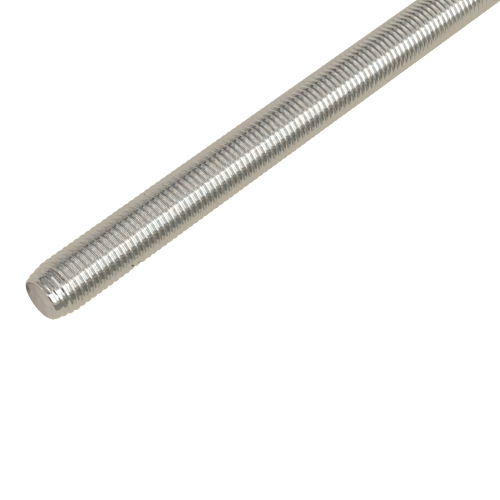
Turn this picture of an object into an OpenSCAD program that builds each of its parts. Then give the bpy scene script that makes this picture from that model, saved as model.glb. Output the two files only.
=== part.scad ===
// Fully threaded rod: one rolled steel bar with a single right-hand 60 degree thread from end to end.
// The rod lies along X, with the origin on its axis, half way along it.

/* [Rod] */
// Length from end face to end face
rod_l = 200; // [60:10:300]

/* [Thread] */
// Major diameter, over the crests
major_d = 16; // [12:0.5:36]
// Axial distance from one crest to the next
pitch = 2; // [1.5:0.25:4]
// Angle between the two flanks of the groove
flank_angle = 60; // [50:1:65]
// Turn of the whole thread about the axis: it sets where the grooves break into the end faces
thread_turn = 118; // [0:1:359]

/* [Ends] */
// Radial drop from a full crest to the edge of the flat end face
face_drop = 2.2; // [0.6:0.1:4]
// Radial drop from a full crest to the outer edge of the broken rim round that face
rim_drop = 1.6; // [0.4:0.05:3]
// Length of the broken rim, from the end face
rim_l = 0.25; // [0.1:0.05:0.5]
// Radial drop from a full crest to the inner end of the chamfer
chamfer_drop = 0.95; // [0.2:0.05:1.6]
// Length of the smooth chamfer, from the end face
chamfer_l = 1.9; // [0.5:0.1:5]
// Length over which the crests grow to their full height, from the end face
lead_l = 6.5; // [5.5:0.5:20]

/* [Hidden] */

// Sides of the finest round, and of the true cylinder that the crests are cut to
round_fn = 96;
// Straight steps that the whole helix may take: they are shared out over its turns
helix_steps = 1500;
most_steps_a_turn = 15;
// Least height that the middle of a straight step keeps above the crest cylinder
step_spare = 0.02;

major_r = major_d / 2;
flank_slope = tan(flank_angle / 2);

// Basic thread form: a sharp triangle, cut off by an eighth of its height at the crest
// and by a sixth of it at the root
sharp_h = pitch / 2 / flank_slope;
thread_depth = sharp_h * 17 / 24;
root_r = major_r - thread_depth;

// The helix starts and ends outside the rod, so that each end shows a cut thread
turns = ceil(rod_l / pitch) + 3;
steps = min(most_steps_a_turn, floor(helix_steps / (rod_l / pitch)));
last_step = turns * steps;
tip_r = max(major_r + sharp_h / 8, (major_r + step_spare) / cos(180 / steps));
flank_w = (tip_r - root_r) * flank_slope;

// Point of the thread profile at one step along the helix: 0 and 1 bound the root flat,
// 2 is the sharp tip, and 3 is where the next turn's root flat starts
profile = [[root_r, 0], [root_r, pitch - 2 * flank_w], [tip_r, pitch - flank_w]];
function helix_point(step, i) =
    let (turn = step / steps)
    [profile[i].x * cos(360 * turn), profile[i].x * sin(360 * turn), profile[i].y + pitch * turn];
function index(step, i) = i < 3 ? 3 * step + i : 3 * (step + steps);

// Solid bar with a sharp-tipped thread, longer than the rod and standing on its first turn
module sharp_thread() {
    points = [for (step = [0 : last_step], i = [0 : 2]) helix_point(step, i)];
    foot = len(points);
    head = foot + 1;
    top_turn = last_step - steps;
    sides = [for (step = [0 : top_turn - 1], i = [0 : 2])
        [index(step, i), index(step + 1, i), index(step + 1, i + 1), index(step, i + 1)]];
    underside = [for (step = [0 : steps - 1]) [foot, index(step + 1, 0), index(step, 0)]];
    topside = [for (step = [top_turn : last_step - 1]) [head, index(step, 0), index(step + 1, 0)]];
    start_face = [foot, index(0, 0), index(0, 1), index(0, 2), index(0, 3)];
    end_face = [head, index(top_turn, 3), index(top_turn, 2), index(top_turn, 1), index(top_turn, 0)];
    polyhedron(
        concat(points, [[0, 0, 0], [0, 0, pitch * (turns - 1)]]),
        concat(sides, underside, topside, [start_face, end_face]),
        convexity = 10
    );
}

// Bar to be threaded: its crests' true cylinder, with a lead taper, a chamfer and a broken rim
// at both ends
module blank() {
    upper_half = [
        [0, rod_l / 2],
        [major_r - face_drop, rod_l / 2],
        [major_r - rim_drop, rod_l / 2 - rim_l],
        [major_r - chamfer_drop, rod_l / 2 - chamfer_l],
        [major_r, rod_l / 2 - lead_l]
    ];
    lower_half = [for (i = [len(upper_half) - 1 : -1 : 0]) [upper_half[i].x, -upper_half[i].y]];
    rotate_extrude($fn = round_fn) polygon(concat(upper_half, lower_half));
}

module threaded_rod() {
    color("silver")
        rotate([0, 90, 0])
            intersection() {
                blank();
                translate([0, 0, -pitch * (turns - 1) / 2]) rotate([0, 0, thread_turn]) sharp_thread();
            }
}

threaded_rod();
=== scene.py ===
import math

import bmesh
import bpy
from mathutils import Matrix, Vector


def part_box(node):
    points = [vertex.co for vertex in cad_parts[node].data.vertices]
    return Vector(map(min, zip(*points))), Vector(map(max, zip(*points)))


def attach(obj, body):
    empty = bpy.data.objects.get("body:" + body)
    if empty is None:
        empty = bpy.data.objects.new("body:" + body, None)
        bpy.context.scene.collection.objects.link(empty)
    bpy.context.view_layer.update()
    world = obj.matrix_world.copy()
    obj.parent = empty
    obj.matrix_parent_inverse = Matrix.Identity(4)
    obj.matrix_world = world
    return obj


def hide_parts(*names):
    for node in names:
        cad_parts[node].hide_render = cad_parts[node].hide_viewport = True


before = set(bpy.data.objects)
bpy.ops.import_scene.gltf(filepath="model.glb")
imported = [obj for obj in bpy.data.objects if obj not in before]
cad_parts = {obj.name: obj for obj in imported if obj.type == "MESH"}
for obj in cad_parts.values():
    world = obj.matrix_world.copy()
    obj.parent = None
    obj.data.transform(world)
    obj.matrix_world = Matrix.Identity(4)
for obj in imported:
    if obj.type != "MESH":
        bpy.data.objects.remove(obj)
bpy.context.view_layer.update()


# ---- Camera ----------------------------------------------------------------------------------
# Stands above and in front of the rod's near end, the -X one, and looks down at it at 48 degrees,
# so that the rod runs away to the upper right and leaves the view.
lowest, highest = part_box("threaded_rod")
look_down = 47.65
look_right = 42.73
roll = -2.89
from_near_end = Vector((-0.13505, -0.22964, 0.30136))

camera_data = bpy.data.cameras.new("camera")
camera_data.sensor_width = 36
camera_data.lens = 107.45
camera = bpy.data.objects.new("camera", camera_data)
camera.location = Vector((lowest[0], 0, 0)) + from_near_end
camera.rotation_euler = (math.radians(90 - look_down), 0, math.radians(-look_right))
camera.rotation_euler.rotate_axis("Z", math.radians(roll))
bpy.context.collection.objects.link(camera)
bpy.context.scene.camera = camera
bpy.context.scene.view_settings.view_transform = "Standard"


# ---- Threaded rod ----------------------------------------------------------------------------
# One bar of low-carbon steel. Its right-hand thread is rolled in between dies, which leaves round
# roots, and round crests with a shallow seam along the middle. Its ends are chamfered and sawn flat,
# and it is bright zinc plated.
mm = 0.001
rod_length = highest[0] - lowest[0]
pitch = 2.0 * mm
crest_radius = -lowest[2]
crest_flat = 0.03 * mm
crest_round = 0.465 * mm
seam_depth = 0.03 * mm
seam_width = 0.14 * mm
flank = math.radians(27)
root_round = 0.244 * mm
steps_a_turn = 52
thread_shift = 0.599 * mm

# Where the crest meets the flank, and where the flank meets the rounded root: distance along the
# axis from the middle of the crest, and radius
crest_foot = (crest_flat + crest_round * math.cos(flank),
              crest_radius - crest_round * (1 - math.sin(flank)))
root_foot_x = pitch / 2 - root_round * math.cos(flank)
root_foot = (root_foot_x, crest_foot[1] - (root_foot_x - crest_foot[0]) / math.tan(flank))
root_middle = root_foot[1] + root_round * math.sin(flank)
root_radius = root_middle - root_round

# The bar is tapered and chamfered before it is rolled, so at both ends the thread grows shallower and
# its crests stay round
lead_length = 6.5 * mm
chamfer_length = 1.9 * mm
chamfer_radius = crest_radius - 0.95 * mm
rim_length = 0.25 * mm
rim_radius = crest_radius - 1.6 * mm
face_radius = crest_radius - 2.2 * mm


def bar_radius(x):
    """Radius that the crests reach at x."""
    depth = rod_length / 2 - abs(x)
    if depth > lead_length:
        return crest_radius
    if depth > chamfer_length:
        part = (depth - chamfer_length) / (lead_length - chamfer_length)
        return chamfer_radius + (crest_radius - chamfer_radius) * part
    if depth > rim_length:
        part = (depth - rim_length) / (chamfer_length - rim_length)
        return rim_radius + (chamfer_radius - rim_radius) * part
    return face_radius + (rim_radius - face_radius) * depth / rim_length


def full_thread_radius(offset):
    """Radius of the full thread at a distance along the axis from the middle of its crest."""
    if offset < crest_foot[0]:
        rounded = crest_round - math.sqrt(crest_round ** 2 - max(offset - crest_flat, 0) ** 2)
        return crest_radius - rounded - seam_depth * math.exp(-(offset / seam_width) ** 2)
    if offset < root_foot[0]:
        part = (offset - crest_foot[0]) / (root_foot[0] - crest_foot[0])
        return crest_foot[1] + (root_foot[1] - crest_foot[1]) * part
    return root_middle - math.sqrt(max(root_round ** 2 - (pitch / 2 - offset) ** 2, 0))


# The least share of its depth that the taper leaves to the thread, and the length over which the
# thread then comes up from the rim
least_depth = 0.3
fade_length = 0.8 * mm


def thread_radius(x, offset):
    """Radius of the thread at x: its depth shrinks with the bar's taper, and is gone at the rim."""
    taper = max((bar_radius(x) - root_radius) / (crest_radius - root_radius), least_depth)
    fade = min(max((rod_length / 2 - abs(x) - rim_length) / fade_length, 0), 1)
    return bar_radius(x) - (crest_radius - full_thread_radius(offset)) * taper * fade


# A knock has flattened the crests low on the front side, near the near end
knock_x = -72 * mm
knock_half_length = 1.7 * mm
knock_depth = 0.42 * mm
knock_angle = math.radians(116)


def knocked(x, angle):
    """Radius that the knock leaves to the crests: a flat that runs out at both ends."""
    beside = max(abs(x - knock_x) - knock_half_length, 0)
    return (crest_radius - knock_depth + beside) / max(math.cos(angle - knock_angle), 0.5)


# Points across the thread, from root to root, closest together over the crest and its seam
half = [offset * mm for offset in (0, 0.06, 0.12, 0.18, 0.27, 0.36)]
half += [crest_foot[0], root_foot[0], (root_foot[0] + pitch / 2) / 2, pitch / 2]
offsets = [-offset for offset in half[:0:-1]] + half[:-1]

turns = math.ceil(rod_length / pitch) + 3
last_step = turns * steps_a_turn
vertices, faces = [], []
for step in range(last_step + 1):
    angle = math.tau * step / steps_a_turn
    crest_x = (step / steps_a_turn - turns / 2) * pitch + thread_shift
    for offset in offsets:
        x = crest_x + offset
        radius = min(thread_radius(x, abs(offset)), knocked(x, angle))
        vertices.append((x, -radius * math.sin(angle), radius * math.cos(angle)))
row = len(offsets)
for step in range(last_step):
    for i in range(row):
        a = step * row + i
        b = a + 1 if i < row - 1 else (step + steps_a_turn) * row
        if b < last_step * row:
            faces.append((a, b, b + row, a + row))

rod_mesh = bpy.data.meshes.new("threaded_rod_rolled")
rod_mesh.from_pydata(vertices, [], faces)
body = bmesh.new()
body.from_mesh(rod_mesh)

# Both ends: cut square, with a broken rim that swells a little, and closed by rings and a fan
rim_swell = 0.06 * mm
face_edge = 0.04 * mm
for side in (-1, 1):
    whole = body.verts[:] + body.edges[:] + body.faces[:]
    cut = bmesh.ops.bisect_plane(body, geom=whole, dist=1e-7, clear_outer=True, plane_no=(side, 0, 0),
                                 plane_co=(side * (rod_length / 2 - rim_length), 0, 0))
    rim = [e for e in cut["geom_cut"] if isinstance(e, bmesh.types.BMEdge)]
    rings = [(rim_length * 0.5, (rim_radius + face_radius) / 2 + rim_swell),
             (face_edge, face_radius + rim_swell),
             (0, face_radius), (0, face_radius * 0.8), (0, face_radius * 0.4)]
    for inset, radius in rings:
        grown = bmesh.ops.extrude_edge_only(body, edges=rim)["geom"]
        for v in (v for v in grown if isinstance(v, bmesh.types.BMVert)):
            v.co.yz = v.co.yz.normalized() * radius
            v.co.x = side * (rod_length / 2 - inset)
        rim = [e for e in grown if isinstance(e, bmesh.types.BMEdge)
               and all(abs(math.hypot(*v.co.yz) - radius) < 1e-7 for v in e.verts)]
        for f in (f for e in rim for f in e.link_faces):
            f.material_index = 1 if radius < face_radius else 0
    middle = body.verts.new((side * rod_length / 2, 0, 0))
    for e in rim:
        body.faces.new((*e.verts, middle)).material_index = 1
bmesh.ops.recalc_face_normals(body, faces=body.faces)
body.to_mesh(rod_mesh)
body.free()
rod_mesh.shade_smooth()
rod_mesh.set_sharp_from_angle(angle=math.radians(40))
rod = bpy.data.objects.new("threaded_rod_rolled", rod_mesh)
bpy.context.collection.objects.link(rod)


def linear(hex_colour):
    """Shader colour of an sRGB hex value."""
    parts = [int(hex_colour[i:i + 2], 16) / 255 for i in (1, 3, 5)]
    return (*[c / 12.92 if c <= 0.04045 else ((c + 0.055) / 1.055) ** 2.4 for c in parts], 1)


def add_node(tree, kind, inputs=None, **settings):
    """Adds a shader node. An input is given by its name or place, as a value or as the socket to link."""
    node = tree.nodes.new("ShaderNode" + kind)
    for name, value in settings.items():
        setattr(node, name, value)
    for name, value in (inputs or {}).items():
        if isinstance(value, bpy.types.NodeSocket):
            tree.links.new(value, node.inputs[name])
        else:
            node.inputs[name].default_value = value
    return node


# Bright zinc plate over a cold-rolled thread: a clear mirror, nearly neutral, with slightly cool and
# slightly warm patches. The dies draw fine lines along the thread and leave it slightly wavy, and the
# plate is duller in patches.
zinc = bpy.data.materials.new("bright zinc plate on rolled steel")
zinc.use_nodes = True
tree = zinc.node_tree
place = add_node(tree, "TexCoord").outputs["Object"]
axes = add_node(tree, "SeparateXYZ", {0: place})
left = add_node(tree, "Math", {0: axes.outputs["Y"], 1: -1}, operation="MULTIPLY")
angle = add_node(tree, "Math", {0: left.outputs[0], 1: axes.outputs["Z"]}, operation="ARCTAN2")

# Unrolled thread: the distance from the middle of the crest, and the length run along the helix
forward = add_node(tree, "Math", {0: axes.outputs["X"], 1: thread_shift}, operation="SUBTRACT")
rise = add_node(tree, "Math", {0: angle.outputs[0], 1: -pitch / math.tau, 2: forward.outputs[0]},
                operation="MULTIPLY_ADD")
wrapped = add_node(tree, "Math", {0: rise.outputs[0], 1: 0, 2: pitch}, operation="WRAP")
across = add_node(tree, "Math", {0: wrapped.outputs[0], 1: pitch / 2}, operation="SUBTRACT")
whole_turns = add_node(tree, "Math", {0: forward.outputs[0], 1: across.outputs[0]}, operation="SUBTRACT")
along = add_node(tree, "Math", {0: whole_turns.outputs[0], 1: math.tau * crest_radius / pitch},
                 operation="MULTIPLY")
unrolled = add_node(tree, "CombineXYZ", {"X": across.outputs[0], "Y": along.outputs[0]}).outputs[0]


def stretched_noise(tree, vector, across_size, along_size, detail=2.0):
    """Noise whose grains are so long in the two directions of the unrolled thread."""
    scaled = add_node(tree, "VectorMath", {0: vector, 1: (1 / across_size, 1 / along_size, 1)},
                      operation="MULTIPLY")
    noise = add_node(tree, "TexNoise", {"Vector": scaled.outputs[0], "Scale": 1.0, "Detail": detail})
    return noise.outputs[0]


drawn_lines = stretched_noise(tree, unrolled, 0.09 * mm, 5 * mm, 3.0)
waviness = stretched_noise(tree, unrolled, 0.7 * mm, 2.6 * mm)
dull_patches = add_node(tree, "TexNoise", {"Vector": place, "Scale": 1 / (1.6 * mm),
                                           "Detail": 4.0}).outputs[0]
tint_patches = add_node(tree, "TexNoise", {"Vector": place, "Scale": 1 / (3.5 * mm),
                                           "Detail": 3.0}).outputs[0]

tint = add_node(tree, "MapRange", {"Value": tint_patches, "From Min": 0.35, "From Max": 0.7}).outputs[0]
plate_colour = add_node(tree, "Mix", {0: tint, 6: linear("#D9DCDD"), 7: linear("#DDD9D6")}, data_type="RGBA")
lines = add_node(tree, "MapRange", {"Value": drawn_lines, "From Min": 0.3, "From Max": 0.7,
                                    "To Min": 0.93, "To Max": 1.04}).outputs[0]
colour = add_node(tree, "VectorMath", {0: plate_colour.outputs[2], 1: lines}, operation="MULTIPLY")
rough = add_node(tree, "MapRange", {"Value": dull_patches, "From Min": 0.3, "From Max": 0.75,
                                    "To Min": 0.06, "To Max": 0.13}).outputs[0]

# Dark specks with ragged edges: two on the crests, and three where the knock broke the plate. Each is
# given by its place along the rod, its angle round it and its size.
speck_radius = 7.7 * mm
raggedness = 0.3 * mm
grains = add_node(tree, "TexNoise", {"Vector": place, "Scale": 1 / (0.4 * mm)}).outputs["Color"]
ragged = add_node(tree, "VectorMath", {0: grains, 1: (raggedness,) * 3, 2: place},
                  operation="MULTIPLY_ADD").outputs[0]
speck = None
for x, degrees, size in ((-58.5, -30, 0.34), (-52.4, -23, 0.3), (-73.4, 109, 0.5), (-71.9, 102, 0.35),
                         (-70.6, 113, 0.6)):
    turn = math.radians(degrees)
    spot = Vector((x * mm, -speck_radius * math.sin(turn), speck_radius * math.cos(turn)))
    spot += Vector((raggedness / 2,) * 3)
    away = add_node(tree, "VectorMath", {0: ragged, 1: spot}, operation="DISTANCE").outputs["Value"]
    mark = add_node(tree, "MapRange", {"Value": away, "From Min": size * 1.6 * mm, "From Max": size * mm})
    speck = add_node(tree, "Math", {0: speck or 0.0, 1: mark.outputs[0]}, operation="MAXIMUM").outputs[0]
colour = add_node(tree, "Mix", {0: speck, 6: colour.outputs[0], 7: linear("#4A443E")}, data_type="RGBA")
wavy = add_node(tree, "Bump", {"Height": waviness, "Distance": 0.06 * mm})
drawn = add_node(tree, "Bump", {"Height": drawn_lines, "Distance": 0.002 * mm, "Normal": wavy.outputs[0]})
shader = tree.nodes["Principled BSDF"]
shader.inputs["Metallic"].default_value = 1
tree.links.new(colour.outputs[2], shader.inputs["Base Color"])
tree.links.new(rough, shader.inputs["Roughness"])
tree.links.new(drawn.outputs[0], shader.inputs["Normal"])
rod_mesh.materials.append(zinc)

# The same plate over a sawn face, which stays matt: the blade leaves fine scratches, and the plate is
# patchy over them
sawn = bpy.data.materials.new("zinc plate on sawn steel")
sawn.use_nodes = True
tree = sawn.node_tree
place = add_node(tree, "TexCoord").outputs["Object"]
turned = add_node(tree, "Mapping", {"Vector": place, "Rotation": (math.radians(24), 0, 0),
                                    "Scale": (1, 1 / (2.5 * mm), 1 / (0.16 * mm))}).outputs[0]
scratches = add_node(tree, "TexNoise", {"Vector": turned, "Scale": 1.0, "Detail": 3.0}).outputs[0]
stain = add_node(tree, "TexNoise", {"Vector": place, "Scale": 1 / (2.4 * mm), "Detail": 3.0}).outputs[0]
stained = add_node(tree, "MapRange", {"Value": stain, "From Min": 0.35, "From Max": 0.65}).outputs[0]
face_colour = add_node(tree, "Mix", {0: stained, 6: linear("#C6C7CB"), 7: linear("#DFD9DB")},
                       data_type="RGBA").outputs[2]

# Painted shade: the face is darker towards the back (+Y), and its edge there is painted brown for the dark
# floor and room that it reflects
painted_shade_patch_middle = (0, 5.7 * mm, 1.2 * mm)
axes = add_node(tree, "SeparateXYZ", {0: place})
flat_place = add_node(tree, "CombineXYZ", {"Y": axes.outputs["Y"], "Z": axes.outputs["Z"]}).outputs[0]
radius = add_node(tree, "VectorMath", {0: flat_place}, operation="LENGTH").outputs["Value"]
# Painted shade: the face's colour is lightened towards the front (-Y) and darkened towards the back (+Y)
painted_side_shade = add_node(tree, "MapRange", {"Value": axes.outputs["Y"], "From Min": -4 * mm, "From Max": 4.5 * mm,
                                     "To Min": 1.12, "To Max": 0.76}).outputs[0]
shaded = add_node(tree, "VectorMath", {0: face_colour, 1: painted_side_shade}, operation="MULTIPLY").outputs[0]
# Painted shade: a brown band along the back half of the face's edge and a wider brown patch at the back stand
# for the dark floor and room that the edge reflects
at_edge = add_node(tree, "MapRange", {"Value": radius, "From Min": 5.1 * mm, "From Max": 5.7 * mm}).outputs[0]
at_back = add_node(tree, "MapRange", {"Value": axes.outputs["Y"], "From Min": -2.5 * mm,
                                      "From Max": 1.5 * mm}).outputs[0]
thin_rim_painted_shade = add_node(tree, "Math", {0: at_edge, 1: at_back}, operation="MULTIPLY").outputs[0]
from_patch = add_node(tree, "VectorMath", {0: flat_place, 1: painted_shade_patch_middle},
                      operation="DISTANCE").outputs["Value"]
painted_shade_patch = add_node(tree, "MapRange", {"Value": from_patch, "From Min": 2.1 * mm,
                                        "From Max": 1.1 * mm}).outputs[0]
painted_rim_shade = add_node(tree, "Math", {0: thin_rim_painted_shade, 1: painted_shade_patch}, operation="MAXIMUM").outputs[0]
painted_rim_shade = add_node(tree, "Math", {0: painted_rim_shade, 1: 0.8}, operation="MULTIPLY").outputs[0]
# The painted shade is mixed in here as brown over the face's colour
colour = add_node(tree, "Mix", {0: painted_rim_shade, 6: shaded, 7: linear("#6B5C50")}, data_type="RGBA")
bump = add_node(tree, "Bump", {"Height": scratches, "Distance": 0.012 * mm})
shader = tree.nodes["Principled BSDF"]
shader.inputs["Metallic"].default_value = 1
shader.inputs["Roughness"].default_value = 0.5
tree.links.new(colour.outputs[2], shader.inputs["Base Color"])
tree.links.new(bump.outputs[0], shader.inputs["Normal"])
rod_mesh.materials.append(sawn)

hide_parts("threaded_rod")
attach(rod, "root")


# ---- Floor -----------------------------------------------------------------------------------
# White matt paper, 8 m across. It is drawn so bright to the camera that the rod's shadow on it clips
# to white. The metal doesn't see that white, but an even, slightly warm grey.
bpy.ops.mesh.primitive_plane_add(size=8, location=(0, 0, lowest[2]))
floor = bpy.context.object
floor.name = "floor"
paper = bpy.data.materials.new("matt white paper")
paper.use_nodes = True
tree = paper.node_tree
tree.nodes.clear()
matt = add_node(tree, "BsdfDiffuse", {"Color": linear("#F0F0EE")})
path = add_node(tree, "LightPath")
to_camera = add_node(tree, "Math", {0: path.outputs["Is Camera Ray"], 1: 0.78}, operation="MULTIPLY")
glow = add_node(tree, "Emission", {"Strength": to_camera.outputs[0]})
lit = add_node(tree, "AddShader", {0: matt.outputs[0], 1: glow.outputs[0]})
seen_by_metal = add_node(tree, "Emission", {"Color": linear("#FFF4E0"), "Strength": 0.65})
either = add_node(tree, "MixShader", {0: path.outputs["Is Glossy Ray"], 1: lit.outputs[0],
                                      2: seen_by_metal.outputs[0]})
add_node(tree, "OutputMaterial", {"Surface": either.outputs[0]})
floor.data.materials.append(paper)


# ---- Grey card -------------------------------------------------------------------------------
# A strip of dark card that lies along the front of the rod. Only the metal sees it: it draws the
# dark band under the highlight.
card_mesh = bpy.data.meshes.new("grey_card")
card_left, card_right = -0.187, 0.054
card_front, card_back = -0.091, -0.016
card_z = lowest[2] + 0.2 * mm
card_mesh.from_pydata([(card_left, card_front, card_z), (card_right, card_front, card_z),
                       (card_right, card_back, card_z), (card_left, card_back, card_z)],
                      [], [(0, 1, 2, 3)])
card = bpy.data.objects.new("grey_card", card_mesh)
bpy.context.collection.objects.link(card)
card.visible_camera = card.visible_diffuse = card.visible_shadow = False
board = bpy.data.materials.new("grey card")
board.use_nodes = True
tree = board.node_tree
tree.nodes.clear()
glow = add_node(tree, "Emission", {"Color": linear("#FFFCED"), "Strength": 0.28})
add_node(tree, "OutputMaterial", {"Surface": glow.outputs[0]})
card_mesh.materials.append(board)


# ---- Studio light ----------------------------------------------------------------------------
# Softboxes round the rod, each given by its direction from it, its size, its brightness and its
# tint. The key light is in front, and the fill from above and behind is a little warm. All of these
# values were fitted, and only the brightness was changed after that.
def softbox(name, azimuth, elevation, width, height, radiance, tint="#FFFFFF", distance=0.8):
    a, e = math.radians(azimuth), math.radians(elevation)
    towards = Vector((math.cos(a) * math.cos(e), math.sin(a) * math.cos(e), math.sin(e)))
    lamp = bpy.data.lights.new(name, "AREA")
    lamp.shape = "RECTANGLE"
    lamp.size, lamp.size_y = width, height
    lamp.color = linear(tint)[:3]
    lamp.energy = radiance * math.pi * width * height
    box = bpy.data.objects.new(name, lamp)
    box.location = towards * distance
    box.rotation_euler = towards.to_track_quat("Z", "Y").to_euler()
    bpy.context.collection.objects.link(box)


softbox("front left", -115.6, 23.8, 0.77, 0.60, 1.70, "#FFFEF9")
softbox("front", -67.2, 23.8, 0.58, 0.58, 0.90, "#FEFFF7")
softbox("front right", -44.0, 22.3, 0.22, 0.51, 1.50, "#FEFFFC")
softbox("low right", -25.5, 14.0, 0.45, 0.39, 1.45, "#FFFDEF")
softbox("high right", 18.2, 74.6, 1.00, 0.22, 0.73, "#FFF9EE")
softbox("overhead right", 30.1, 82.3, 0.19, 0.21, 0.68, "#FFF9E9")
softbox("overhead", -66.2, 72.0, 0.28, 0.41, 0.72, "#FFF9E9")
softbox("back", 81.8, 24.0, 0.91, 0.70, 0.50, "#FFF4E3")
softbox("back left", 143.8, 11.9, 1.00, 0.31, 0.58, "#FFF4E2")
softbox("low left", 181.1, 19.8, 0.54, 0.39, 0.91, "#FFFBF0")
softbox("left", -190.1, 57.4, 1.00, 0.83, 0.28, "#FFF6ED")
softbox("front high", -83.6, 48.9, 0.71, 0.35, 0.66, "#FFF8EB")

world = bpy.data.worlds.new("studio")
bpy.context.scene.world = world
world.use_nodes = True
tree = world.node_tree
tree.nodes.clear()
path = add_node(tree, "LightPath")
level = add_node(tree, "MapRange", {"Value": path.outputs["Is Camera Ray"], "To Min": 0.11, "To Max": 1.0})
sky = add_node(tree, "Background", {"Color": (1, 1, 1, 1), "Strength": level.outputs[0]})
add_node(tree, "OutputWorld", {"Surface": sky.outputs[0]})
